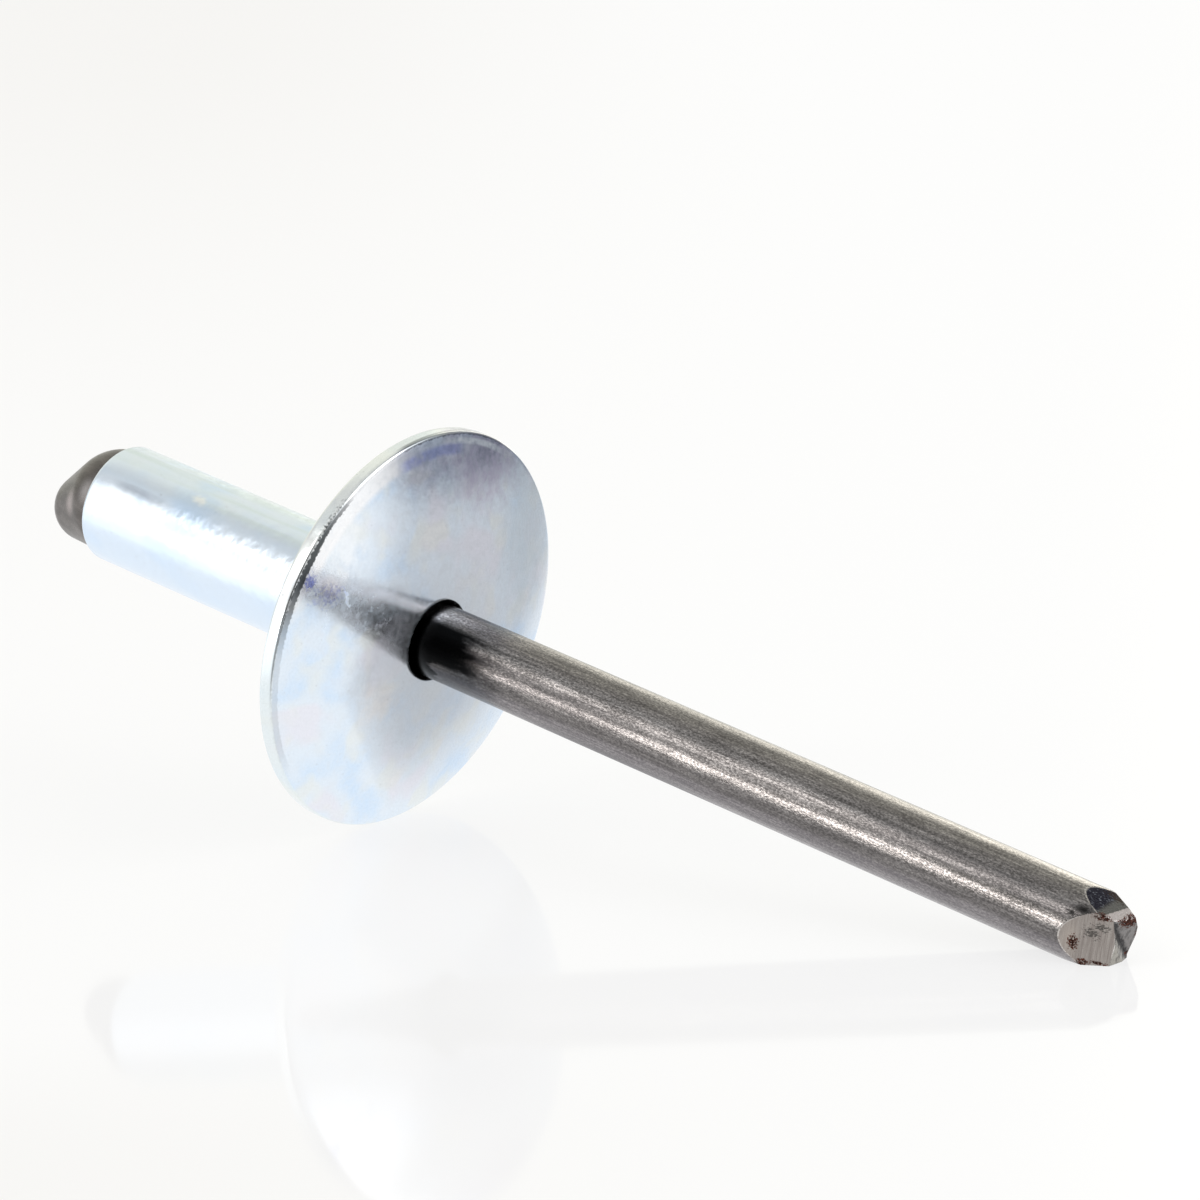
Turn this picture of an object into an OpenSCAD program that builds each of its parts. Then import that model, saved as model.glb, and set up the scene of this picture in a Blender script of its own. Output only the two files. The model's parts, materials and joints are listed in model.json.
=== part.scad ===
// Large-flange blind rivet, unset: a plated tubular body with its pull mandrel in place.
// It lies as it comes to rest, on the rim of the flange and on the cut end of the mandrel,
// with the mandrel pointing along +X. All sizes are in millimetres.

/* [Rivet body] */
// Outer diameter of the hollow shank
shank_d = 4.8; // [4.6:0.1:6.4]
// Length of the shank, from the underside of the flange to its free end
shank_l = 15; // [8:0.5:30]
// Rounding of the outer edge at the shank's free end
shank_end_r = 0.2; // [0.05:0.05:0.25]
// Fillet between the shank and the underside of the flange
root_r = 0.2; // [0.05:0.05:0.5]
// Radial clearance between the bore and the mandrel
bore_gap = 0.1; // [0.03:0.01:0.15]
// Chamfer where the bore opens on the crown of the flange
mouth_chamfer = 0.1; // [0.02:0.01:0.3]

/* [Flange] */
// Diameter of the flange
flange_d = 16; // [10:0.5:25]
// Thickness of the flange at its rim
rim_t = 0.67; // [0.4:0.01:1.2]
// Rounding of the two edges of the rim
rim_r = 0.14; // [0.05:0.01:0.18]
// Rise of the domed face from the rim to the bore
crown_h = 1.19; // [0.5:0.01:2.5]
// Depth of the flat spot on the rim where the rivet rests
rest_flat = 0.03; // [0.01:0.01:0.04]

/* [Mandrel stem] */
// Diameter of the wire
stem_d = 2.9; // [2.2:0.1:3.1]
// Length of wire that stands out of the flange
stem_out = 32.3; // [24:0.1:45]
// Distance from the head's seat to the break neck
neck_back = 1.5; // [0.8:0.1:5]
// Diameter of the wire at the break neck
neck_d = 2.1; // [1.4:0.1:2.1]
// Length of the break neck along the wire
neck_l = 0.8; // [0.2:0.1:1.2]
// Width of the crimp groove that holds the wire at the mouth of the bore
crimp_w = 0.6; // [0.2:0.05:0.8]
// Depth of the crimp groove
crimp_depth = 0.2; // [0.05:0.01:0.4]

/* [Mandrel head] */
// How far the head's edge stays inside the shank's outer surface
head_inset = 0.26; // [0.22:0.01:0.4]
// Radius of the head's rounded nose
nose_r = 1.41; // [0.8:0.01:1.6]
// Distance from the seat to the centre of the nose
nose_reach = 1.91; // [1.2:0.01:3]
// Lean of the head away from the wire's axis
head_lean = 24; // [0:1:30]

/* [Cut point] */
// Half height of the cut end, below the axis, where it rests
foot_h = 0.8; // [0.7:0.01:1.2]
// Slope of the long cut on top of the point
top_cut = 13.7; // [10:0.1:20]
// Distance from the end at which the long top cut starts
top_cut_back = 1.94; // [0.8:0.01:2.2]
// Slope of the short bevel at the end of the top cut
top_bevel = 25.6; // [22:0.1:35]
// Distance from the end at which the short bevel would meet the wire's surface
top_bevel_back = 1.23; // [0.5:0.01:1.5]
// Slope of the broad cut on the near side
near_cut = 24.3; // [15:0.1:30]
// Distance from the end at which the near cut starts
near_cut_back = 2.02; // [0.8:0.01:2.3]
// Slope of the cut on the far side
far_cut = 24.3; // [15:0.1:30]
// Distance from the end at which the far cut starts
far_cut_back = 2.2; // [0.5:0.01:2.3]
// Slope of the cut between the top and the far side
corner_cut = 22.8; // [10:0.1:30]
// Distance from the end at which the corner cut starts
corner_cut_back = 1.95; // [0.5:0.01:2.2]
// Angle between the end face and the axis
end_cut = 82; // [75:0.5:88]
// Distance from the end at which the end face meets the wire's surface, on its lower near side
end_cut_back = 0.3; // [0.1:0.01:0.4]
// Depth of the torn valley across the end face
tear_depth = 0.22; // [0.05:0.01:0.4]
// Width of the torn valley across the end face
tear_w = 0.9; // [0.3:0.05:1.2]

/* [Hidden] */
$fn = 128;

// Plated steel and bare steel wire
zinc = [0.80, 0.85, 0.89];
wire = [0.42, 0.41, 0.40];

// Radii
shank_r = shank_d / 2;
flange_r = flange_d / 2;
stem_r = stem_d / 2;
neck_r = neck_d / 2;
bore_r = stem_r + bore_gap;
mouth_r = bore_r + mouth_chamfer;
head_r = shank_r - head_inset;

// Stations along the axis, counted from the underside of the flange towards the cut point
crown_z = rim_t + crown_h;
tip_z = crown_z + stem_out;

// The domed face: the centre of each rim rounding lies on an inner sphere, and so does a point
// one rounding below the mouth of the bore, so that the dome runs into the rim without a kink
round_x = flange_r - rim_r;
round_z = rim_t - rim_r;
inner_z = crown_z - rim_r;
dome_z = (pow(mouth_r, 2) + pow(inner_z, 2) - pow(round_x, 2) - pow(round_z, 2))
    / (2 * (inner_z - round_z));
dome_inner_r = norm([round_x, round_z - dome_z]);
dome_r = dome_inner_r + rim_r;

// The head: two circles and the tangents that join them
tangent = asin((head_r - nose_r) / nose_reach);

// The way that each cut of the point faces, in degrees round the axis: 0 is the upper side,
// 90 the near side and 270 the far side
top_turn = 8;
bevel_turn = 11;
near_turn = 92;
far_turn = 270;
corner_turn = 300;
end_turn = 132;
tear_turn = -51;

// The corner of the end face that the short bevel and the corner cut make, above the axis
bevel_h = stem_r - top_bevel_back * tan(top_bevel);
corner_h = stem_r - corner_cut_back * tan(corner_cut);
tip_top = (bevel_h * sin(corner_turn) - corner_h * sin(bevel_turn))
    / sin(corner_turn - bevel_turn);

// Where the sloping end face crosses the axis
end_z = tip_z + min(0, stem_r / tan(end_cut) - end_cut_back);

// The rest: one plane cuts the flat spot off the rim's rounding and the foot off the cut point
rest_r = rim_r - rest_flat;
rest_run = tip_z - round_z;
rest_drop = round_x - foot_h;
rest_tilt = atan2(rest_drop, rest_run) + asin(rest_r / norm([rest_run, rest_drop]));
seat_h = round_z * sin(rest_tilt) + round_x * cos(rest_tilt) + rest_r;
x_max = tip_z * cos(rest_tilt) + tip_top * sin(rest_tilt);
x_min = -(shank_l + nose_reach * cos(head_lean)) * cos(rest_tilt)
    - nose_reach * sin(head_lean) * sin(rest_tilt) - nose_r;

// More than any distance across the part, for cutting blocks
span = 2 * (tip_z + shank_l + flange_d);

// Lays a piece that was drawn along +Z down on the plane z = 0, and takes off what lies below it
module lie() {
    difference() {
        translate([-(x_min + x_max) / 2, 0, seat_h])
            rotate([0, 90 + rest_tilt, 0])
                children();
        translate([-span / 2, -span / 2, -span])
            cube(span);
    }
}

// Section of the shank, from the axis to its surface
module shank_section() {
    translate([0, -shank_l + shank_end_r])
        square([shank_r, shank_l - shank_end_r + rim_t / 2]);
    translate([0, -shank_l])
        square([shank_r - shank_end_r, shank_l]);
    translate([shank_r - shank_end_r, -shank_l + shank_end_r])
        circle(shank_end_r);
    difference() {
        translate([shank_r - root_r, -root_r])
            square(2 * root_r);
        translate([shank_r + root_r, -root_r])
            circle(root_r);
        translate([shank_r, 0])
            square(2 * root_r);
    }
}

// Section of the flange: a rim with two rounded edges under a shallow dome
module flange_section() {
    rim_dir = [round_x, round_z - dome_z] / dome_inner_r;
    dome_edge = [round_x, round_z] + rim_r * rim_dir;
    translate([0, rim_r])
        square([flange_r, rim_t - 2 * rim_r]);
    square([round_x, round_z]);
    for (z = [rim_r, round_z])
        translate([round_x, z])
            circle(rim_r);
    intersection() {
        translate([0, dome_z])
            circle(dome_r, $fn = 720);
        polygon([[0, rim_t / 2], [round_x, rim_t / 2], [round_x, round_z], dome_edge,
            [dome_edge.x, crown_z + 1], [0, crown_z + 1]]);
    }
}

// What the bore removes, with the chamfer at its mouth
module bore_section() {
    translate([0, -shank_l - 1])
        square([bore_r, shank_l + crown_z + 2]);
    polygon([[0, crown_z - mouth_chamfer], [bore_r, crown_z - mouth_chamfer],
        [mouth_r + 1, crown_z + 1], [0, crown_z + 1]]);
}

module rivet_body() {
    color(zinc)
        lie()
            rotate_extrude()
                difference() {
                    union() {
                        shank_section();
                        flange_section();
                    }
                    bore_section();
                }
}

// The wire, from inside the head to the cut end, with the break neck near the head and the crimp
// groove at the crown of the flange
module stem() {
    neck_z = -shank_l + neck_back;
    crimp_z = crown_z - crimp_w / 3;
    rotate_extrude()
        polygon([
            [0, -shank_l - nose_reach / 2],
            [stem_r, -shank_l - nose_reach / 2],
            [stem_r, neck_z - neck_l / 2],
            [neck_r, neck_z],
            [stem_r, neck_z + neck_l / 2],
            [stem_r, crimp_z - crimp_w / 2],
            [stem_r - crimp_depth, crimp_z],
            [stem_r, crimp_z + crimp_w / 2],
            [stem_r, tip_z],
            [0, tip_z]
        ]);
}

// The upset head: a ball centred on the shank's end runs into a smaller nose, and leans
module head() {
    intersection() {
        translate([0, 0, -shank_l])
            rotate([0, 180 - head_lean, 0])
                rotate_extrude()
                    intersection() {
                        union() {
                            circle(head_r);
                            polygon([[0, 0], head_r * [cos(tangent), sin(tangent)],
                                [0, nose_reach] + nose_r * [cos(tangent), sin(tangent)],
                                [0, nose_reach]]);
                            translate([0, nose_reach])
                                circle(nose_r);
                        }
                        translate([0, -head_r])
                            square([head_r, nose_reach + nose_r + head_r]);
                    }
        translate([-span / 2, -span / 2, -shank_l - span])
            cube(span);
    }
}

// Takes off what lies outside a sloping plane: turn is the way the plane faces, slope its angle
// to the axis, and back how far from the end it meets the wire's surface
module cut(turn, slope, back) {
    reach = 2 * stem_d;
    start = [stem_r, tip_z - back];
    rotate([0, 0, 180 + turn])
        rotate([90, 0, 0])
            linear_extrude(reach, center = true)
                polygon([start, start + reach * [-sin(slope), cos(slope)],
                    [reach, tip_z + reach], [reach, start.y]]);
}

// A shallow torn valley across the end face
module tear() {
    translate([0, 0, end_z])
        rotate([90, 0, tear_turn])
            linear_extrude(2 * stem_d, center = true)
                polygon([[-tear_w / 2, 0], [0, -tear_depth], [tear_w / 2, 0],
                    [tear_w / 2, 1], [-tear_w / 2, 1]]);
}

module mandrel() {
    color(wire)
        lie()
            difference() {
                union() {
                    stem();
                    head();
                }
                cut(top_turn, top_cut, top_cut_back);
                cut(bevel_turn, top_bevel, top_bevel_back);
                cut(near_turn, near_cut, near_cut_back);
                cut(far_turn, far_cut, far_cut_back);
                cut(corner_turn, corner_cut, corner_cut_back);
                cut(end_turn, end_cut, end_cut_back);
                tear();
            }
}

rivet_body();
mandrel();
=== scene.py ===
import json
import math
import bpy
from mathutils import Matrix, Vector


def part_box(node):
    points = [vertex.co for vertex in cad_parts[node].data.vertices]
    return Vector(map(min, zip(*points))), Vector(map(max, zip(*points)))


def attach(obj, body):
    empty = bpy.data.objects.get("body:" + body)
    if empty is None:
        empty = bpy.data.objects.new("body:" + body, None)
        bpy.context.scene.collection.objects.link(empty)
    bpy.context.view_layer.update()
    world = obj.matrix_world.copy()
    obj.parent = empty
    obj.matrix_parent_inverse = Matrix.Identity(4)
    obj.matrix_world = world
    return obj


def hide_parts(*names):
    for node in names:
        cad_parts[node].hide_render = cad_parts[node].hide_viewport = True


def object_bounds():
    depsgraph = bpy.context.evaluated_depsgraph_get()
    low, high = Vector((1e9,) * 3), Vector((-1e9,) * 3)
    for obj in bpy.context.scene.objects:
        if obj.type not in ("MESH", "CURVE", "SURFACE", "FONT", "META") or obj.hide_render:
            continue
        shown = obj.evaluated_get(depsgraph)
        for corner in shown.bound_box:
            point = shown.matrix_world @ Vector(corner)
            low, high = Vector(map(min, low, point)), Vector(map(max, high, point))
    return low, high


bl_info = {
    "name": "Large-Flange Blind Rivet",
    "version": (1, 0, 0),
    "blender": (4, 5, 0),
    "location": "3D Viewport > Sidebar > Rivet",
    "description": "Builds the plated body and the wire mandrel of an unset blind rivet, with a stage",
    "category": "Add Mesh",
}

import bpy
import numpy as np
from bpy.props import FloatProperty, FloatVectorProperty, PointerProperty
from mathutils import Matrix

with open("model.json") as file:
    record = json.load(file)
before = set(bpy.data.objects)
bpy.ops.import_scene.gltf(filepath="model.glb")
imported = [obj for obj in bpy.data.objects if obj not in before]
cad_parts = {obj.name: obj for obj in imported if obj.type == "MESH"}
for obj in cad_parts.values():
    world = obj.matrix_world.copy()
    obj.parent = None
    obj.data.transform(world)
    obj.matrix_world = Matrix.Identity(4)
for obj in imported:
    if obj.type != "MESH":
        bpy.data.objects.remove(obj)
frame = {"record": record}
CAD_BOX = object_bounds()

MM = 0.001
MOUNTS = {mount["name"]: mount for mount in frame["record"]["mounts"]}

# The rivet's own axes in the row frame, and the centre of the flange's seat on its axis
ALONG = np.array(MOUNTS["mandrel_stem"]["axis"])
NEAR = np.array((0.0, -1.0, 0.0))
UP = np.cross(NEAR, ALONG)
STEM_AT = np.array(MOUNTS["mandrel_stem"]["pos_m"])
SEAT = STEM_AT + ALONG * np.dot(np.array(MOUNTS["flange_seat"]["pos_m"]) - STEM_AT, ALONG)
AXES = Matrix((UP, NEAR, ALONG)).transposed()

# The way that each cut of the point faces, in degrees round the axis: 0 is the upper side, 90 the
# near side and 270 the far side
TOP_TURN = 8
BEVEL_TURN = 11
NEAR_TURN = 92
FAR_TURN = 270
CORNER_TURN = 300
END_TURN = 132

# The way across the torn valley of the end face, as shares of up and near
TEAR_LEAN = math.radians(39)
TEAR = (-math.sin(TEAR_LEAN), math.cos(TEAR_LEAN))

# Length of wire at the point that holds all the cuts, in millimetres
POINT_L = 2.6

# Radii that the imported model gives, in millimetres
SHANK_R = MOUNTS["shank"]["dims"]["r_mm"]
STEM_R = MOUNTS["mandrel_stem"]["dims"]["r_mm"]
FLANGE_R = (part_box("rivet_body")[1][1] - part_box("rivet_body")[0][1]) / 2 / MM


def length(name, description, mm):
    """A length property whose default is given in millimetres."""
    return FloatProperty(
        name=name, description=description, default=mm * MM, unit="LENGTH", precision=5
    )


def angle(name, description, degrees):
    """An angle property whose default is given in degrees."""
    return FloatProperty(
        name=name, description=description, default=math.radians(degrees),
        subtype="ANGLE", unit="ROTATION",
    )


def colour(name, description, rgb):
    """A colour property, linear."""
    return FloatVectorProperty(
        name=name, description=description, default=rgb, size=3,
        subtype="COLOR", min=0.0, max=1.0,
    )


def factor(name, description, value):
    """A property that is a share or a level without a unit."""
    return FloatProperty(
        name=name, description=description, default=value, min=0.0, subtype="FACTOR"
    )


class BodySettings(bpy.types.PropertyGroup):
    """Sizes and finish of the plated body."""

    shank_l: length("Shank length", "From the underside of the flange to the free end", 15)
    shank_end_r: length("Shank end rounding", "Rounding of the outer edge at the free end", 0.2)
    root_r: length("Root fillet", "Fillet between the shank and the flange", 0.2)
    bore_gap: length("Bore gap", "Radial clearance round the mandrel", 0.1)
    mouth_chamfer: length("Mouth chamfer", "Chamfer where the bore opens on the crown", 0.1)
    rim_t: length("Rim thickness", "Thickness of the flange at its rim", 0.67)
    rim_r: length("Rim rounding", "Rounding of the rim's two edges", 0.14)
    crown_h: length("Crown rise", "Rise of the domed face from the rim to the bore", 1.19)
    ripple: length("Ripple", "Depth of the shallow unevenness of the stamped face", 0.012)
    zinc: colour("Zinc", "Colour of the clean plating", (0.80, 0.88, 0.96))
    blue: colour("Passivate blue", "Tint where the passivate film is thick", (0.69, 0.83, 0.99))
    rose: colour("Passivate rose", "Tint where the film turns to rose", (0.86, 0.83, 0.89))
    straw: colour("Passivate straw", "Tint where the film turns to straw", (0.86, 0.88, 0.84))
    stain: colour("Stain", "Colour of the stain on the upper rim", (0.62, 0.60, 0.71))
    spot: colour("Blue spot", "Colour of the strong blue spots", (0.20, 0.26, 0.74))
    # The colour of the dark line inside the rim, which is painted: a dark reflection of the rim's
    # rounding
    rim_shade: colour("Rim_shade", "Colour of the dark line inside the rim", (0.012, 0.022, 0.025))
    roughness: factor("Roughness", "Roughness of the plating", 0.14)
    haze: factor("Haze", "Share of the plating's look that is a dull haze", 0.12)


class MandrelSettings(bpy.types.PropertyGroup):
    """Sizes and finish of the wire mandrel."""

    stem_out: length("Stem outside", "Length of wire that stands out of the flange", 32.3)
    neck_back: length("Neck distance", "From the head's seat to the break neck", 1.5)
    neck_d: length("Neck diameter", "Diameter at the break neck", 2.1)
    neck_l: length("Neck length", "Length of the break neck", 0.8)
    crimp_w: length("Crimp width", "Width of the crimp groove", 0.6)
    crimp_depth: length("Crimp depth", "Depth of the crimp groove", 0.2)
    head_inset: length("Head inset", "How far the head stays inside the shank's outer surface", 0.26)
    nose_r: length("Nose radius", "Radius of the head's rounded nose", 1.41)
    nose_reach: length("Nose reach", "From the head's seat to the centre of the nose", 1.91)
    head_lean: angle("Head lean", "Lean of the head away from the wire's axis", 24)
    top_cut: angle("Top cut", "Slope of the long cut on top of the point", 13.7)
    top_cut_back: length("Top cut start", "Distance from the end at which it starts", 1.94)
    top_bevel: angle("Top bevel", "Slope of the short bevel at the end of the top cut", 25.6)
    top_bevel_back: length("Top bevel start", "Distance from the end at which it would start", 1.23)
    near_cut: angle("Near cut", "Slope of the broad cut on the near side", 24.3)
    near_cut_back: length("Near cut start", "Distance from the end at which it starts", 2.02)
    far_cut: angle("Far cut", "Slope of the cut on the far side", 24.3)
    far_cut_back: length("Far cut start", "Distance from the end at which it starts", 2.2)
    corner_cut: angle("Corner cut", "Slope of the cut between the top and the far side", 22.8)
    corner_cut_back: length("Corner cut start", "Distance from the end at which it starts", 1.95)
    end_cut: angle("End face", "Angle between the end face and the axis", 82)
    end_cut_back: length("End face start", "Distance from the end at which it meets the surface", 0.3)
    tear_depth: length("Tear depth", "Depth of the torn valley across the end face", 0.22)
    tear_w: length("Tear width", "Width of the torn valley", 0.9)
    wire: colour("Wire", "Colour of the drawn wire", (0.36, 0.34, 0.33))
    wire_dark: colour("Wire, dark", "Colour of the wire's darker grain", (0.10, 0.094, 0.09))
    rust: colour("Rust", "Colour of the rust specks", (0.045, 0.010, 0.005))
    roughness: factor("Roughness", "Roughness of the drawn wire", 0.22)


class StageSettings(bpy.types.PropertyGroup):
    """The camera, the floor and the light."""

    azimuth: angle("Camera azimuth", "Turn of the view from looking along +Y towards -X", 39.715)
    elevation: angle("Camera elevation", "Height of the camera above the horizon", 13.495)
    roll: angle("Camera roll", "Turn of the camera about its own line of sight", -1.968)
    distance: length("Camera distance", "From the camera to its target", 207.286)
    lens: FloatProperty(
        name="Lens", description="Focal length in millimetres", default=162.0,
        subtype="DISTANCE_CAMERA",
    )
    target: FloatVectorProperty(
        name="Target", description="The point that the camera looks at", size=3, unit="LENGTH",
        default=(-0.0017906, 0.0047445, 0.0086521), precision=5,
    )
    gloss: factor("Floor gloss", "Share of the floor's look that is a mirror image", 0.09)
    shadow: factor("Floor shadow", "Share of the floor's look that takes shadow", 0.17)
    key: factor("Key lamp", "Power of the soft key lamp in watts", 0.36)


def place(up, near, along):
    """Points in the row frame, in metres, that lie so many millimetres up, near and along from the
    seat's centre, by the rivet's own axes."""
    up, near, along = np.broadcast_arrays(up, near, along)
    return SEAT + MM * (up[..., None] * UP + near[..., None] * NEAR + along[..., None] * ALONG)


def arc(centre, radius, start, end, count):
    """Points on a circle: centre plus radius times the cosine and sine of evenly spaced angles, which
    run from start to end in degrees."""
    turn = np.radians(np.linspace(start, end, count))
    return np.stack([centre[0] + radius * np.cos(turn), centre[1] + radius * np.sin(turn)], -1)


def line(start, end, count, ease=0.0):
    """Points from start to end; ease gathers them towards both ends by a cosine law."""
    share = np.linspace(0, 1, count)[:, None]
    share = (1 - ease) * share + ease * (1 - np.cos(np.pi * share)) / 2
    return np.array(start) * (1 - share) + np.array(end) * share


def drop_repeats(points):
    """The same points without those that repeat the one before."""
    step = np.linalg.norm(np.diff(points, axis=0), axis=1)
    return points[np.concatenate([[True], step > 1e-6])]


def grid_quads(rows, columns, ring):
    """Quads between neighbouring rows of a grid whose columns go round, and between the last row and
    the first where ring is true. They face outwards when rows run along the axis and columns turn
    from the upper side to the near side."""
    i = np.arange(rows if ring else rows - 1)[:, None]
    j = np.arange(columns)[None, :]
    below = i * columns
    above = (i + 1) % rows * columns
    right = (j + 1) % columns
    return np.stack([below + j, below + right, above + right, above + j], -1).reshape(-1, 4)


def new_object(name, data):
    """An object in the scene that holds data, in place of one of the same name."""
    old = bpy.data.objects.get(name)
    if old:
        bpy.data.objects.remove(old)
    made = bpy.data.objects.new(name, data)
    bpy.context.scene.collection.objects.link(made)
    return made


def make_piece(name, points, faces, marks=None):
    """A smooth-shaded mesh object with the float attributes that marks names."""
    mesh = bpy.data.meshes.new(name)
    mesh.from_pydata(points.reshape(-1, 3), [], faces)
    mesh.shade_smooth()
    for mark, values in (marks or {}).items():
        data = mesh.attributes.new(mark, "FLOAT", "POINT").data
        data.foreach_set("value", values.astype(np.float32).ravel())
    if mesh.validate():
        raise RuntimeError(f"{name} has faces that Blender had to repair")
    return new_object(name, mesh)


class Tree:
    """A shader tree as it is built: each method adds nodes and returns an output of the last one."""

    def __init__(self, tree):
        tree.nodes.clear()
        self.tree = tree

    def add(self, kind, inputs=(), output=0, **settings):
        """A node with these settings, whose inputs are linked or set."""
        node = self.tree.nodes.new(kind)
        for key, value in settings.items():
            setattr(node, key, value)
        for key, value in dict(inputs).items():
            if isinstance(value, bpy.types.NodeSocket):
                self.tree.links.new(value, node.inputs[key])
            else:
                node.inputs[key].default_value = value
        return node.outputs[output] if node.outputs else None

    def mapping(self, vector, location=(0, 0, 0), rotation=(0, 0, 0), scale=(1, 1, 1)):
        """vector seen from a box at location, turned by rotation and as large as scale."""
        inputs = {"Vector": vector, "Location": location, "Rotation": rotation, "Scale": scale}
        return self.add("ShaderNodeMapping", inputs, vector_type="TEXTURE")

    def split(self, vector):
        """The three parts of vector."""
        return self.add("ShaderNodeSeparateXYZ", {0: vector}).node.outputs

    def reach(self, vector):
        """The length of vector."""
        return self.add("ShaderNodeVectorMath", {0: vector}, "Value", operation="LENGTH")

    def towards(self, vector, way):
        """How far vector reaches in the direction way."""
        return self.add("ShaderNodeVectorMath", {0: vector, 1: way}, "Value", operation="DOT_PRODUCT")

    def math(self, operation, a, b=0.0):
        """One of the Math node's operations on a and b."""
        return self.add("ShaderNodeMath", {0: a, 1: b}, operation=operation)

    def times(self, product, *others):
        """The product of all the values."""
        for other in others:
            product = self.math("MULTIPLY", product, other)
        return product

    def most(self, largest, *others):
        """The largest of the values."""
        for other in others:
            largest = self.math("MAXIMUM", largest, other)
        return largest

    def span(self, value, start, end, low=0.0, high=1.0):
        """value eased from low at start to high at end."""
        inputs = {"Value": value, "From Min": start, "From Max": end, "To Min": low, "To Max": high}
        return self.add("ShaderNodeMapRange", inputs, interpolation_type="SMOOTHSTEP")

    def between(self, value, start, end, fade):
        """1 where value lies from start to end, fading to 0 over the distance fade outside them."""
        return self.times(self.span(value, start - fade, start), self.span(value, end + fade, end))

    def mix(self, share, a, b, amount=1.0):
        """Colour a with colour b laid over it, by share times amount."""
        if amount != 1.0:
            share = self.times(share, amount)
        a, b = (c if isinstance(c, bpy.types.NodeSocket) else (*c, 1.0) for c in (a, b))
        return self.add("ShaderNodeMix", {0: share, 6: a, 7: b}, 2, data_type="RGBA")

    def patch(self, vector, location, size, soft, ragged=None, amount=0.0, rotation=(0, 0, 0)):
        """1 inside an ellipsoid of these half sizes, fading to 0 at its edge over the share soft.
        ragged is a noise that frays the edge by amount."""
        far = self.reach(self.mapping(vector, location, rotation, size))
        if ragged is not None:
            far = self.math("ADD", far, self.span(ragged, 0.25, 0.75, -amount, amount))
        return self.span(far, 1.0, 1.0 - soft)

    def attribute(self, name):
        """A float attribute of the mesh."""
        return self.add("ShaderNodeAttribute", output="Fac", attribute_name=name)

    def bump(self, height, distance, normal=None):
        """A normal bent by height, which is distance deep, over another normal."""
        inputs = {"Height": height, "Distance": distance, "Strength": 1.0}
        if normal is not None:
            inputs["Normal"] = normal
        return self.add("ShaderNodeBump", inputs)


class Metal(Tree):
    """The shader tree of one of the rivet's metals. Its places are counted by the rivet's own axes, up,
    near and along in millimetres from the seat's centre, and its turns in degrees round the axis."""

    def __init__(self, tree):
        super().__init__(tree)
        seen = self.add("ShaderNodeTexCoord", output="Object")
        self.at = self.mapping(seen, SEAT, AXES.to_euler(), (MM, MM, MM))
        up, near, self.along = self.split(self.at)
        flat = self.add("ShaderNodeVectorMath", {0: self.at, 1: (1.0, 1.0, 0.0)}, operation="MULTIPLY")
        self.radius = self.reach(flat)
        self.turn = self.math("ARCTAN2", near, up)

    def noise(self, size, detail=2.0, roughness=0.5, distortion=0.0, start=None):
        """Noise whose features are as large as size, one number for each axis, counted from start."""
        at = self.at if start is None else self.mapping(self.at, start)
        inputs = {
            "Vector": self.mapping(at, scale=size), "Scale": 1.0, "Detail": detail,
            "Roughness": roughness, "Distortion": distortion,
        }
        return self.add("ShaderNodeTexNoise", inputs)

    def blot(self, location, size, soft, ragged=None, amount=0.0, turned=0.0):
        """A patch on the rivet, turned by so many degrees about its axis."""
        rotation = (0.0, 0.0, math.radians(turned))
        return self.patch(self.at, location, size, soft, ragged, amount, rotation)

    def sweep(self, start, end, low=0.0, high=1.0):
        """The turn eased from low at start to high at end."""
        return self.span(self.turn, math.radians(start), math.radians(end), low, high)

    def sector(self, start, end, fade):
        """1 where the turn lies from start to end, fading to 0 over fade outside them."""
        return self.between(self.turn, math.radians(start), math.radians(end), math.radians(fade))


def new_material(name):
    """The material of this name, ready for a shader tree."""
    material = bpy.data.materials.get(name) or bpy.data.materials.new(name)
    material.use_nodes = True
    return material


def body_outline(s):
    """The closed outline (radius, distance along the axis) of the body's wall, from the bore's far
    end out over the shank's end, up the shank, over the underside, the rim and the domed face, and
    back down the bore."""
    shank_l, end_r, root_r = s.shank_l / MM, s.shank_end_r / MM, s.root_r / MM
    rim_t, rim_r, chamfer = s.rim_t / MM, s.rim_r / MM, s.mouth_chamfer / MM
    bore_r = STEM_R + s.bore_gap / MM
    mouth_r = bore_r + chamfer
    crown_z = rim_t + s.crown_h / MM
    round_x, round_z = FLANGE_R - rim_r, rim_t - rim_r
    inner_z = crown_z - rim_r
    dome_z = (mouth_r**2 + inner_z**2 - round_x**2 - round_z**2) / (2 * (inner_z - round_z))
    dome_r = math.hypot(round_x, round_z - dome_z) + rim_r
    edge = math.degrees(math.atan2(round_z - dome_z, round_x))
    mouth = math.degrees(math.acos(mouth_r / dome_r))
    top = dome_z + math.sqrt(dome_r**2 - mouth_r**2)
    return drop_repeats(np.concatenate([
        line((bore_r, -shank_l), (SHANK_R - end_r, -shank_l), 5, 0.8),
        arc((SHANK_R - end_r, -shank_l + end_r), end_r, -90, 0, 8),
        line((SHANK_R, -shank_l + end_r), (SHANK_R, -root_r), 26),
        arc((SHANK_R + root_r, -root_r), root_r, 180, 90, 7),
        line((SHANK_R + root_r, 0), (round_x, 0), 12),
        arc((round_x, rim_r), rim_r, -90, 0, 8),
        line((FLANGE_R, rim_r), (FLANGE_R, round_z), 5),
        arc((round_x, round_z), rim_r, 0, edge, 8),
        arc((0, dome_z), dome_r, edge, mouth, 54),
        line((mouth_r, top), (bore_r, top - chamfer), 4, 0.9),
        line((bore_r, top - chamfer), (bore_r, -shank_l), 14, 0.6)[:-1],
    ]))


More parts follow.
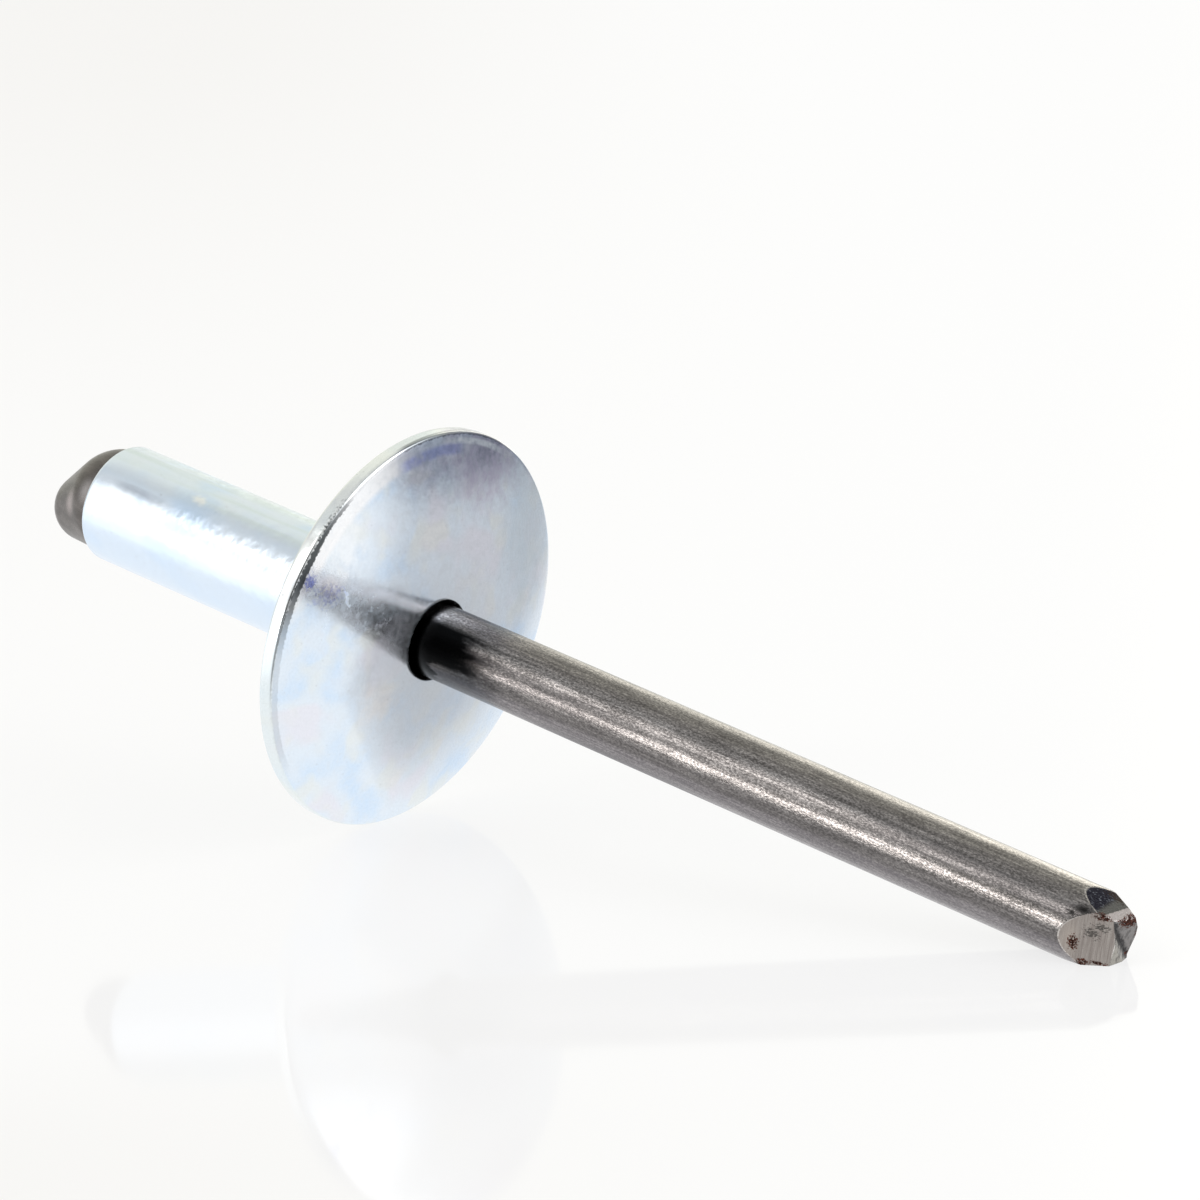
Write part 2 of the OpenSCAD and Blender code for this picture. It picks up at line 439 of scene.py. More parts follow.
def build_body(s):
    """The plated body: its outline turned about the axis. The domed face is pressed in a little by
    three slow waves round and across it, and what would reach below the floor is flattened."""
    columns = 480
    # In millimetres: where the ripple fades in from the rim and from the hole, and how deep the painted
    # shade in the bore reaches
    rim_fade, hole_gap, hole_fade = 0.35, 0.3, 1.5
    dark_depth = 1.0
    outline = body_outline(s)
    turn = np.linspace(0, 2 * np.pi, columns, endpoint=False)[None, :]
    radius = outline[:, :1]
    along = outline[:, 1:]
    from_rim = (along - s.rim_t / MM) / rim_fade
    from_hole = (radius - STEM_R - hole_gap) / hole_fade
    face = np.clip(from_rim, 0, 1) * np.clip(from_hole, 0, 1)
    wave = (
        np.sin(2 * turn + 0.9 * radius + 0.4) + np.sin(3 * turn - 1.1 * radius + 2.1)
        + np.sin(5 * turn + 0.6 * radius + 4.0)
    )
    along = along - s.ripple / MM * face * (3 + wave) / 6
    points = place(radius * np.cos(turn), radius * np.sin(turn), along)
    mouth_r = STEM_R + (s.bore_gap + s.mouth_chamfer) / MM
    bore = ((radius < mouth_r - 0.005) & (outline[:, 1:] > -dark_depth)) * np.ones(columns)
    faces = grid_quads(len(outline), columns, True)
    return make_piece("plated_body", np.clip(points, *CAD_BOX), faces.tolist(), {"bore": bore})


class Plate(Metal):
    """The plating's shader tree, with the noises that its marks share and where the shank is."""

    def __init__(self, tree):
        super().__init__(tree)
        self.grain = self.noise((0.12, 0.12, 0.12), 3.0, 0.6)
        self.cloud = self.noise((0.55, 0.55, 0.7), 3.0, 0.6, start=(7.0, 3.0, 11.0))
        self.mottle = self.noise((0.26, 0.26, 0.26), 3.0, 0.6, start=(1.0, 12.0, 6.0))
        self.streaks = self.noise((0.5, 0.5, 9.0), 2.0, 0.5, start=(2.0, 8.0, 3.0))
        self.shank = self.span(self.along, 0.0, -0.4)


def film_colour(t, s):
    """The clean plating. The passivate film's thickness drifts and tints the zinc blue, rose and straw,
    least on the shank, which is pale blue below and has soft greenish streaks on top."""
    drift = t.noise((2.4, 2.4, 3.0), 1.6, 0.5, 0.25)
    other = t.noise((1.5, 1.5, 2.2), 1.6, 0.5, 0.3, (31.0, 17.0, 5.0))
    tint = t.span(t.shank, 0.0, 1.0, 0.6, 0.12)
    base = t.mix(t.span(drift, 0.54, 0.32), s.zinc, s.blue)
    base = t.mix(t.times(t.span(drift, 0.55, 0.70), tint), base, s.rose)
    base = t.mix(t.times(t.span(other, 0.52, 0.70), tint), base, s.straw)
    below = t.times(t.shank, t.sweep(70, 100))
    base = t.mix(below, base, (0.74, 0.85, 0.98), 0.7)
    above = t.times(t.shank, t.sweep(45, 25), t.span(t.streaks, 0.35, 0.68))
    return t.mix(above, base, (0.73, 0.82, 0.84))


# Tinted places on the flange's face, among them painted shade on the far side and a painted highlight:
# where each lies and its half sizes, how soft and how ragged its edge is, its strength and its tone
FACE_PLACES = (
    ("grey middle", (-0.6, -0.3, 1.5), (5.2, 4.8, 2.4), 0.8, 0.08, 0.85, (0.76, 0.80, 0.84)),
    # Painted shade: the far side of the face greyer where it mirrors darker surroundings
    ("grey far side", (2.9, -5.6, 0.9), (5.0, 3.3, 1.6), 0.9, 0.15, 0.75, (0.63, 0.72, 0.79)),
    ("warm spot", (-1.9, 2.8, 1.6), (1.5, 1.3, 1.0), 0.9, 0.2, 0.6, (0.93, 0.90, 0.87)),
    # A painted highlight on the upper near part of the face
    ("highlight spot", (4.4, 5.0, 1.0), (1.7, 1.1, 0.8), 0.9, 0.2, 0.85, (0.95, 0.98, 1.0)),
)


def face_colour(t, base):
    """The flange over base: the tinted places, a painted highlight in a ring inside the rim, a faintly
    green rim and painted shade in the bore, all of it faintly mottled."""
    for _, at, size, soft, ragged, strength, tone in FACE_PLACES:
        base = t.mix(t.blot(at, size, soft, t.cloud, ragged), base, tone, strength)
    # A painted highlight in a ring inside the rim on the upper near side
    ring_highlight = t.times(t.between(t.radius, 7.4, 7.95, 0.3), t.sector(20, 56, 8))
    base = t.mix(ring_highlight, base, (1.0, 1.0, 1.0), 0.9)
    base = t.mix(t.span(t.radius, 7.90, 7.97), base, (0.84, 0.89, 0.85), 0.5)
    # Painted shade in the bore and its mouth
    base = t.mix(t.attribute("bore"), base, (0.004, 0.004, 0.004))
    mottled = t.times(t.span(t.mottle, 0.55, 0.35), t.span(t.shank, 0.0, 1.0, 0.22, 0.0))
    return t.mix(mottled, base, (0.70, 0.74, 0.78))


def stain_colour(t, s, base):
    """The stain on the upper part of the face, over base: two lobes with a darker core that is a
    painted dark reflection, a pale arc at the edge, and strong blue in an arc and in two spots on the
    near side. None is on the underside."""
    lobe = t.blot((6.7, -2.6, 0.8), (2.9, 3.2, 1.6), 0.9, t.cloud, 0.25)
    small = t.blot((6.9, 0.9, 0.8), (1.4, 2.3, 1.2), 0.9, t.cloud, 0.25)
    stained = t.most(lobe, t.times(small, 0.45))
    tone = t.mix(t.times(stained, t.span(t.mottle, 0.35, 0.6, 0.65, 1.1)), base, s.stain)
    # A painted dark reflection in the stain's core, near the rim towards the far side
    heart = t.blot((6.95, -3.0, 0.8), (0.8, 1.2, 0.9), 0.9, t.mottle, 0.5)
    tone = t.mix(heart, tone, (0.42, 0.43, 0.50), 0.6)
    pale = t.times(t.between(t.radius, 7.62, 7.72, 0.12), t.sector(-26, -8, 7))
    tone = t.mix(t.times(pale, t.span(t.mottle, 0.3, 0.5, 0.5, 1.0)), tone, (0.95, 0.98, 1.0))
    bow = t.times(t.between(t.radius, 7.30, 7.48, 0.22), t.sector(-7, 13, 6))
    bow = t.times(bow, t.span(t.cloud, 0.30, 0.60, 0.1, 0.6))
    high = t.blot((3.45, 6.62, 0.8), (0.4, 0.34, 0.5), 0.8, t.grain, 0.4)
    low = t.blot((2.8, 5.8, 1.0), (0.5, 0.9, 0.6), 0.9, t.grain, 0.6)
    tone = t.mix(t.most(bow, high, t.times(low, 0.5)), tone, s.spot, 0.75)
    return t.mix(t.span(t.along, 0.1, 0.3), base, tone)


def rim_line(t, s, base):
    """The dark line inside the rim, over base: a painted dark reflection of the rim's rounding. It is
    strongest on the near side, where it is wider and lies further in, fades above and below, and is
    frayed by the grain."""
    line_r = t.math("SUBTRACT", t.sweep(40, 22, 7.885, 7.965), t.sweep(46, 56, 0.0, 0.055))
    beside = t.math("ABSOLUTE", t.math("SUBTRACT", t.radius, line_r))
    beside = t.math("ADD", beside, t.span(t.grain, 0.3, 0.7, -0.03, 0.03))
    beside = t.math("ADD", beside, t.sweep(46, 22, 0.0, 0.02))
    beside = t.math("SUBTRACT", beside, t.sweep(46, 56, 0.0, 0.025))
    # Mask of the painted dark reflection inside the rim
    groove = t.times(t.span(beside, 0.12, 0.07), t.span(t.along, 0.40, 0.50))
    strength = t.times(
        t.sweep(-40, -22, 0.0, 0.55), t.sweep(90, 62, 0.2, 1.0),
        t.span(t.sector(18, 33, 8), 0.0, 1.0, 1.0, 0.15),
        t.sweep(36, 50, 1.0, 1.65), t.sweep(128, 112),
    )
    return t.mix(t.times(groove, strength), base, s.rim_shade)


def shank_marks(t, base):
    """Marks over base: a dull streak near the shank's end, a small yellowish spot on its top, and dark
    pits scattered over the whole body."""
    streak = t.blot((1.60, 1.79, -12.6), (0.3, 0.3, 2.6), 0.9, t.streaks, 0.25)
    base = t.mix(streak, base, (0.50, 0.55, 0.62), 0.85)
    spot = t.blot((2.08, 1.21, -9.85), (0.28, 0.28, 0.46), 0.9, t.cloud, 0.4)
    base = t.mix(spot, base, (0.97, 0.98, 0.93), 0.75)
    pits = t.span(t.noise((0.11, 0.11, 0.11), 1.0), 0.74, 0.80)
    return t.mix(pits, base, (0.36, 0.35, 0.36), 0.5)


def plate_bumps(t):
    """Shallow waves and a fine grain all over, and dents on the shank that fade towards its end."""
    dented = t.times(t.span(t.along, -0.1, -0.5), t.span(t.along, -12.5, -10.0, 0.2, 1.0))
    dents = t.times(t.noise((0.5, 0.5, 0.4), 1.5, 0.5), dented)
    bumps = t.bump(t.noise((1.6, 1.6, 2.4), 2.0, 0.5), 0.006 * MM)
    bumps = t.bump(dents, 0.02 * MM, bumps)
    bumps = t.bump(t.cloud, 0.002 * MM, bumps)
    return t.bump(t.grain, 0.0008 * MM, bumps)


def plate_haze(t, s):
    """The share of the look that is a dull haze: a little all over, unevenly, and more on flecks on the
    near part of the face, on one scratch there and in a faint veil beside the hole."""
    flecks = t.blot((2.35, 4.8, 1.3), (2.1, 0.85, 0.8), 0.8, t.cloud, 0.8, turned=64)
    scratch = t.blot((2.55, 4.95, 1.30), (0.55, 0.14, 0.25), 0.6, t.grain, 0.5, turned=16)
    veil = t.blot((1.1, 2.3, 1.7), (1.4, 1.2, 1.0), 0.9, t.cloud, 0.3)
    marks = t.most(t.times(flecks, 0.35), scratch, t.times(veil, 0.12))
    haze = t.math("ADD", t.times(marks, 0.7), s.haze)
    uneven = t.span(t.mottle, 0.35, 0.65, -0.06, 0.06)
    return t.math("ADD", haze, t.times(uneven, t.span(t.shank, 0.0, 1.0, 1.0, 0.2)))


def plating(s):
    """Bright zinc under a thin passivate film, tinted, stained and marked, with painted highlights and
    shade, and a share of haze. It is smoother or rougher in clouds, and duller on the shank than on the
    face."""
    material = new_material("zinc_plated_steel")
    t = Plate(material.node_tree)
    base = film_colour(t, s)
    base = face_colour(t, base)
    base = stain_colour(t, s, base)
    base = rim_line(t, s, base)
    base = shank_marks(t, base)
    satin = t.span(t.cloud, 0.3, 0.7, 0.8 * s.roughness, 1.35 * s.roughness)
    satin = t.times(satin, t.span(t.shank, 0.0, 1.0, 1.0, 1.35))
    look = {"Base Color": base, "Metallic": 1.0, "Normal": plate_bumps(t)}
    surface = t.add("ShaderNodeMixShader", {
        0: plate_haze(t, s),
        1: t.add("ShaderNodeBsdfPrincipled", {**look, "Roughness": satin}),
        2: t.add("ShaderNodeBsdfPrincipled", {**look, "Roughness": 0.7}),
    })
    t.add("ShaderNodeOutputMaterial", {"Surface": surface})
    return material


def head_rings(s, shank_l, turn, rows):
    """The leaning head as a distance from the centre of its seat in each direction: a ball near the
    seat, a cone that touches ball and nose, and the round nose. A column keeps one direction round
    the head's own axis and runs from the tip of the nose to the plane of the seat."""
    lean = s.head_lean
    head_r = SHANK_R - s.head_inset / MM
    nose_r, reach = s.nose_r / MM, s.nose_reach / MM
    slope = math.asin((head_r - nose_r) / reach)
    ball_end = np.pi / 2 - slope
    nose_end = math.atan2(nose_r * math.cos(slope), reach + nose_r * math.sin(slope))
    round_axis = np.arctan2(np.sin(turn), np.cos(turn) * math.cos(lean))
    seat_polar = np.arccos(-math.sin(lean) * np.cos(turn))
    polar = seat_polar * np.linspace(0, 1, rows + 1)[1:, None]
    nose = reach * np.cos(polar) + np.sqrt(np.maximum(nose_r**2 - (reach * np.sin(polar))**2, 0))
    cone = head_r / np.cos(np.maximum(ball_end - polar, 0))
    out = np.where(polar < nose_end, nose, cone)
    axis_part, side_part = out * np.cos(polar), out * np.sin(polar)
    up = -math.sin(lean) * axis_part + math.cos(lean) * side_part * np.cos(round_axis)
    near = side_part * np.sin(round_axis)
    along = -shank_l - math.cos(lean) * axis_part - math.sin(lean) * side_part * np.cos(round_axis)
    return up, near, along


def tip_limits(s, turn, along, tip_z):
    """How far the point reaches out in the direction turn at the distance along: the smallest of the
    wire's radius, the distances to the five cutting planes, and the distance to the floor. A plane
    that starts back from the end at the wire's surface falls by the tangent of its slope."""
    least, beyond = 0.02, 99.0

    def reach_of(depth, towards):
        return np.where(towards > least, depth / np.maximum(towards, least), beyond)

    reach = [np.full(np.broadcast(turn, along).shape, STEM_R)]
    cuts = (
        (TOP_TURN, s.top_cut, s.top_cut_back), (BEVEL_TURN, s.top_bevel, s.top_bevel_back),
        (NEAR_TURN, s.near_cut, s.near_cut_back), (FAR_TURN, s.far_cut, s.far_cut_back),
        (CORNER_TURN, s.corner_cut, s.corner_cut_back),
    )
    for faces, slope, back in cuts:
        depth = STEM_R - (along - (tip_z - back / MM)) * math.tan(slope)
        reach.append(reach_of(depth, np.cos(turn - math.radians(faces))))
    height = SEAT[2] / MM + along * ALONG[2]
    reach.append(reach_of(height / ALONG[0], -np.cos(turn)))
    return np.stack(reach)


def build_mandrel(s, body):
    """The mandrel as one closed grid: the head, its flat seat, the wire with the break neck and the
    crimp groove, the cut point, and the torn end face, whose valley runs slantwise across it. The
    body's settings say how long the shank and how high the crown is."""
    columns = 400
    seat_gap, torn_depth = 0.02, 0.02
    shank_l = body.shank_l / MM
    crown_z = (body.rim_t + body.crown_h) / MM
    tip_z = crown_z + s.stem_out / MM
    turn = np.linspace(0, 2 * np.pi, columns, endpoint=False)[None, :]

    # The wire from the head's seat to where the cuts begin
    neck_z, neck_half = -shank_l + s.neck_back / MM, s.neck_l / MM / 2
    crimp_z, crimp_half = crown_z - s.crimp_w / MM / 3, s.crimp_w / MM / 2
    cut_z = tip_z - POINT_L
    groove_r = STEM_R - s.crimp_depth / MM
    outline = drop_repeats(np.concatenate([
        line((SHANK_R - s.head_inset / MM - seat_gap, -shank_l), (STEM_R, -shank_l), 4, 0.5),
        line((STEM_R, -shank_l + seat_gap), (STEM_R, neck_z - neck_half), 3),
        line((STEM_R, neck_z - neck_half), (s.neck_d / MM / 2, neck_z), 4),
        line((s.neck_d / MM / 2, neck_z), (STEM_R, neck_z + neck_half), 4),
        line((STEM_R, neck_z + neck_half), (STEM_R, crimp_z - crimp_half), 8),
        line((STEM_R, crimp_z - crimp_half), (groove_r, crimp_z), 4),
        line((groove_r, crimp_z), (STEM_R, crimp_z + crimp_half), 4),
        line((STEM_R, crimp_z + crimp_half), (STEM_R, cut_z), 40),
    ]))
    wire_r, wire_z = outline[:, :1], outline[:, 1:]

    # The point: rows run from the first cut to the sloping end face, which drops into the valley
    tear_up, tear_near = TEAR
    valley_half, valley_depth = s.tear_w / MM / 2, s.tear_depth / MM
    low_up, low_near = math.cos(math.radians(END_TURN)), math.sin(math.radians(END_TURN))

    def end_height(up, near):
        """How far along the end face lies there: a sloping plane, less the valley."""
        slope = (STEM_R - up * low_up - near * low_near) / math.tan(s.end_cut) - s.end_cut_back / MM
        across = np.abs(up * tear_up + near * tear_near)
        return tip_z + np.minimum(slope, 0) - valley_depth * np.maximum(1 - across / valley_half, 0)

    end_z = np.full_like(turn, tip_z)
    for _ in range(8):
        edge_r = tip_limits(s, turn, end_z, tip_z).min(0)
        end_z = end_height(edge_r * np.cos(turn), edge_r * np.sin(turn))
    share = np.linspace(0, 1, 96)[1:, None]
    point_z = cut_z + (end_z - cut_z) * share
    limits = tip_limits(s, turn, point_z, tip_z)
    point_r = limits.min(0)
    active = limits.argmin(0)

    # The end face, ring by ring towards its middle
    shrink = np.concatenate([[0.985], np.linspace(0.95, 0.03, 34)])[:, None]
    middle_up, middle_near = 0.05, -0.05
    edge_r = point_r[-1:]
    face_up = middle_up + (edge_r * np.cos(turn) - middle_up) * shrink
    face_near = middle_near + (edge_r * np.sin(turn) - middle_near) * shrink
    inner = 1 - shrink
    waves = (
        np.sin(9.0 * face_up + 2.0 * face_near) + np.sin(7.0 * face_near - 4.0 * face_up + 1.0)
        + np.sin(17.0 * face_up + 11.0 * face_near + 2.0)
    )
    rough = torn_depth * np.minimum(inner * 8, 1) * (3 + waves) / 3
    face_z = end_height(face_up, face_near) - rough

    rings = [
        place(*head_rings(s, shank_l, turn, 44)),
        place(wire_r * np.cos(turn), wire_r * np.sin(turn), wire_z),
        place(point_r * np.cos(turn), point_r * np.sin(turn), point_z),
        place(face_up, face_near, face_z),
    ]
    lean = s.head_lean
    tip_of_nose = s.nose_reach / MM + s.nose_r / MM
    poles = [
        place(-math.sin(lean) * tip_of_nose, 0.0, -shank_l - math.cos(lean) * tip_of_nose),
        place(middle_up, middle_near, face_z[-1].mean()),
    ]
    grid = np.clip(np.concatenate(rings), *CAD_BOX)
    rows = len(grid)
    points = np.concatenate([grid.reshape(-1, 3), np.stack(poles)])
    ring = np.arange(columns)
    ahead = (ring + 1) % columns
    last = (rows - 1) * columns
    nose_fan = np.stack([np.full(columns, rows * columns), ahead, ring], -1)
    end_fan = np.stack([last + ring, last + ahead, np.full(columns, rows * columns + 1)], -1)
    faces = grid_quads(rows, columns, False).tolist() + nose_fan.tolist() + end_fan.tolist()

    starts = np.cumsum([0] + [len(part) for part in rings])

    def mark(part, values):
        """values on the rows of one part and 0 on all others."""
        full = np.zeros((rows, columns))
        full[starts[part]:starts[part + 1]] = values
        return np.append(full.ravel(), [0.0, float(full[-1].mean())])

    marks = {
        "head": mark(0, 1.0) + mark(1, (wire_z < -shank_l + 0.01) * np.ones_like(turn)),
        "near_cut": mark(2, active == 3),
        "top_cut": mark(2, active == 1),
        "bevel": mark(2, active == 2),
        "far_cut": mark(2, (active == 4) | (active == 5)),
        "end_face": mark(3, 1.0),
    }
    marks["head"][-2] = 1.0
    return make_piece("wire_mandrel", points, faces, marks)


class Wire(Metal):
    """The wire's shader tree, with the noises that its marks share and how worn it is."""

    def __init__(self, tree):
        super().__init__(tree)
        self.grain = self.noise((0.055, 0.055, 0.11), 2.0, 0.65)
        self.lines = self.noise((0.10, 0.10, 3.2), 3.0, 0.5, start=(3.0, 9.0, 4.0))
        self.blotch = self.noise((0.4, 0.4, 1.4), 3.0, 0.6)
        worn = self.math(
            "ADD", self.span(self.grain, 0.28, 0.72, -0.5, 0.5),
            self.span(self.lines, 0.32, 0.68, -0.24, 0.24),
        )
        self.worn = self.math("ADD", worn, self.span(self.blotch, 0.3, 0.7, -0.12, 0.12))


def drawn_colour(t, s):
    """The drawn wire: a fine grain of light and dark with faint drawing lines along it, and painted
    shade that makes it greyer on its under side and dimmer in two bands all along it and in one on its
    inner and on its outer part."""
    base = t.mix(t.span(t.worn, -0.7, 0.7), s.wire_dark, s.wire)
    base = t.mix(t.span(t.worn, 0.3, 0.8, 0.0, 0.6), base, (0.55, 0.52, 0.50))
    # Painted shade on the under side
    base = t.mix(t.sweep(96, 112), base, (0.205, 0.19, 0.21), 0.5)
    # Painted shade: two dim bands all along the wire, and dim parts near the point and near the hole
    outer = t.times(t.sector(44, 64, 4), t.span(t.along, 21.0, 26.0))
    inner = t.times(t.sector(61, 84, 6), t.span(t.along, 17.0, 8.0))
    dim = t.most(t.sector(92, 102, 8), t.times(t.sector(12, 28, 8), 0.6), outer, inner)
    return t.mix(dim, base, (0.10, 0.093, 0.095), 0.45)


def shade_and_smear_colour(t, base):
    """Black over base: painted shade on the wire beside the hole, reaching furthest out on the near
    side, and a smear at the near cut's upper corner."""
    # Painted shade beside the hole, frayed by the blotches
    frayed = t.math("ADD", t.along, t.span(t.blotch, 0.3, 0.7, -0.5, 0.5))
    low = t.sweep(68, 84)
    hole_shade = t.most(
        t.times(t.sector(41, 94, 15), t.span(frayed, 6.2, 3.9)),
        t.times(low, t.span(frayed, 3.5, 2.8)),
        t.times(low, 0.55, t.span(frayed, 7.0, 4.5)),
    )
    smear = t.most(
        t.blot((1.02, 1.03, 32.75), (0.30, 0.30, 0.55), 0.9, t.blotch, 0.2),
        t.blot((0.80, 1.22, 32.42), (0.17, 0.17, 0.36), 0.9, t.grain, 0.2),
    )
    return t.mix(t.most(hole_shade, t.times(smear, 0.9)), base, (0.006, 0.006, 0.006))


def head_colour(t, head, base):
    """The head over base: brown-grey, with painted highlights on its near shoulder and on its middle.
    """
    tone = t.mix(t.span(t.blotch, 0.3, 0.7), (0.11, 0.102, 0.096), (0.16, 0.146, 0.138))
    # Painted highlight on the near shoulder
    shoulder = t.blot((0.8, 1.9, -15.35), (0.85, 0.5, 0.5), 0.9, t.blotch, 0.1)
    tone = t.mix(shoulder, tone, (0.27, 0.255, 0.25))
    # Painted highlight on the middle
    middle = t.blot((0.0, 1.8, -16.2), (0.75, 0.45, 0.55), 0.9, t.blotch, 0.1)
    tone = t.mix(middle, tone, (0.37, 0.325, 0.315))
    return t.mix(head, base, tone)


def cut_colour(t, near_cut, top_cut, base):
    """The cuts over base. The near cut is light and scratched across, with a pale start and dull spots.
    The top cut is dark and bluish, a painted dark reflection, with pale specks and a brown spot. The
    bevel is bright, the far cut grey, and a painted highlight runs along the edges of the two large
    cuts."""
    scratches = t.noise((0.9, 0.9, 0.035), 3.0, 0.6, start=(1.0, 5.0, 2.0))
    tone = t.mix(t.span(scratches, 0.25, 0.75), (0.23, 0.20, 0.185), (0.37, 0.34, 0.315))
    pale = t.blot((-0.1, 1.25, 32.5), (1.0, 0.5, 0.5), 0.9)
    tone = t.mix(pale, tone, (0.42, 0.37, 0.33), 0.6)
    dull = t.most(
        t.blot((0.25, 0.97, 33.22), (0.26, 0.3, 0.3), 0.8, t.grain, 0.9),
        t.blot((0.53, 0.86, 33.50), (0.16, 0.3, 0.34), 0.7, t.grain, 0.9),
    )
    tone = t.mix(dull, tone, (0.075, 0.07, 0.065), 0.9)
    base = t.mix(near_cut, base, tone)

    # The top cut's dark blue tones are a painted dark reflection
    specks = t.noise((0.10, 0.10, 0.14), 3.0, 0.65, start=(4.0, 1.0, 8.0))
    tone = t.mix(t.span(specks, 0.53, 0.70), (0.010, 0.010, 0.022), (0.22, 0.24, 0.29))
    tone = t.mix(t.span(t.along, 33.1, 33.4), tone, (0.13, 0.13, 0.125))
    brown = t.blot((1.2, -0.45, 33.2), (0.4, 0.40, 0.6), 0.6, specks, 0.6)
    tone = t.mix(brown, tone, (0.045, 0.028, 0.020), 0.8)
    base = t.mix(top_cut, base, tone)

    base = t.mix(t.attribute("bevel"), base, (0.62, 0.57, 0.54))
    base = t.mix(t.attribute("far_cut"), base, (0.25, 0.235, 0.22))
    # A painted highlight along the edges of the two large cuts
    edges = t.times(t.most(near_cut, top_cut), t.span(t.radius, 1.42, 1.44))
    edges = t.times(edges, t.span(t.grain, 0.35, 0.55))
    return t.mix(edges, base, (0.60, 0.57, 0.54))


def end_colour(t, end_face, base):
    """The end face over base: grey with dark flakes, with painted shade that is darker on one side and
    black along the valley, painted light past it, and a painted highlight on the torn ridge at its near
    upper edge and along the edge by the near cut."""
    across = t.towards(t.at, (*TEAR, 0.0))
    torn = t.noise((0.28, 0.10, 0.28), 3.0, 0.6, start=(6.0, 2.0, 1.0))
    # Painted shade and light: darker before the valley, lighter past it
    tone = t.mix(t.span(across, -0.02, 0.24), (0.24, 0.23, 0.225), (0.36, 0.345, 0.31))
    tone = t.mix(t.span(torn, 0.52, 0.38), tone, (0.09, 0.085, 0.085), 0.6)
    valley = t.math("ADD", across, t.span(torn, 0.3, 0.7, -0.06, 0.06))
    # Painted shade, black along the valley
    tone = t.mix(t.between(valley, 0.0, 0.17, 0.12), tone, (0.035, 0.034, 0.036), 0.9)
    # A painted highlight on the torn ridge and along the edge by the near cut
    ridge = t.most(
        t.blot((0.70, 0.56, 34.06), (0.24, 0.13, 0.2), 0.4, t.grain, 0.3),
        t.blot((0.02, 0.62, 34.02), (0.82, 0.07, 0.2), 0.4, t.grain, 0.4),
    )
    tone = t.mix(ridge, tone, (0.85, 0.82, 0.79))
    return t.mix(end_face, base, tone)


# Small places where rust has set in, each with its half sizes: at the edges of the cuts, and on the
# end face
RUST_PLACES = (
    ((0.93, 0.88, 33.45), (0.17, 0.22, 0.5)), ((-0.25, 1.2, 32.67), (0.36, 0.22, 0.22)),
    ((-0.93, 1.0, 33.05), (0.2, 0.25, 0.3)), ((-0.83, 0.8, 33.6), (0.09, 0.2, 0.5)),
    ((0.80, 0.03, 34.1), (0.28, 0.60, 0.28)), ((0.87, 0.48, 34.08), (0.10, 0.22, 0.2)),
    ((0.40, -0.58, 34.1), (0.5, 0.16, 0.25)), ((-0.68, -0.52, 33.98), (0.15, 0.17, 0.25)),
)


def rust(t, s, end_face):
    """The share of rust and its shader: a rough red and brown crust, in thin veins and small lumps
    within the small places."""
    broken = t.noise((0.11, 0.11, 0.11), 2.0, 0.6, 0.8)
    lumps = t.noise((0.08, 0.08, 0.08), 2.0, 0.6, start=(3.0, 5.0, 2.0))
    rusty = t.most(0.0, *(t.blot(at, size, 0.5, lumps, 0.4) for at, size in RUST_PLACES))
    veins = t.span(t.math("ABSOLUTE", t.math("SUBTRACT", broken, 0.5)), 0.08, 0.04)
    veins = t.most(veins, t.span(lumps, 0.44, 0.52), t.times(end_face, 0.85))
    tone = t.mix(t.span(lumps, 0.38, 0.55), (0.115, 0.026, 0.010), (0.016, 0.007, 0.005))
    crust = t.add("ShaderNodeBsdfPrincipled", {
        "Base Color": t.mix(0.35, tone, s.rust), "Roughness": 0.85, "Specular IOR Level": 0.12,
        "Normal": t.bump(lumps, 0.02 * MM),
    })
    return t.times(t.span(rusty, 0.1, 0.4), veins), crust


def bare_wire(s):
    """Drawn steel wire, grained and lined, with painted shade beside the hole, a browner head with
    painted highlights, the tones of the cuts and the end face with their painted light and shade, and
    rust at the point."""
    material = new_material("bare_steel_wire")
    t = Wire(material.node_tree)
    head, end_face = t.attribute("head"), t.attribute("end_face")
    near_cut, top_cut = t.attribute("near_cut"), t.attribute("top_cut")
    base = drawn_colour(t, s)
    base = shade_and_smear_colour(t, base)
    base = head_colour(t, head, base)
    base = cut_colour(t, near_cut, top_cut, base)
    base = end_colour(t, end_face, base)
    smooth = t.most(near_cut, top_cut, head, end_face)
    rough = t.span(t.worn, -0.6, 0.8, 1.2 * s.roughness, 0.8 * s.roughness)
    rough = t.math("ADD", rough, t.times(smooth, 0.08))
    bumps = t.bump(t.grain, 0.006 * MM)
    bumps = t.bump(t.lines, 0.002 * MM, bumps)
    bumps = t.bump(t.noise((0.03, 0.03, 0.04), 2.0, 0.6), 0.0015 * MM, bumps)
    metal = t.add("ShaderNodeBsdfPrincipled", {
        "Base Color": base, "Metallic": 1.0, "Roughness": rough, "Normal": bumps,
    })
    share, crust = rust(t, s, end_face)
    surface = t.add("ShaderNodeMixShader", {0: share, 1: metal, 2: crust})
    t.add("ShaderNodeOutputMaterial", {"Surface": surface})
    return material


def facing(azimuth, elevation):
    """The direction at an azimuth, turned from +X towards +Y, and an elevation, in degrees."""
    a, e = math.radians(azimuth), math.radians(elevation)
    return (math.cos(a) * math.cos(e), math.sin(a) * math.cos(e), math.sin(e))


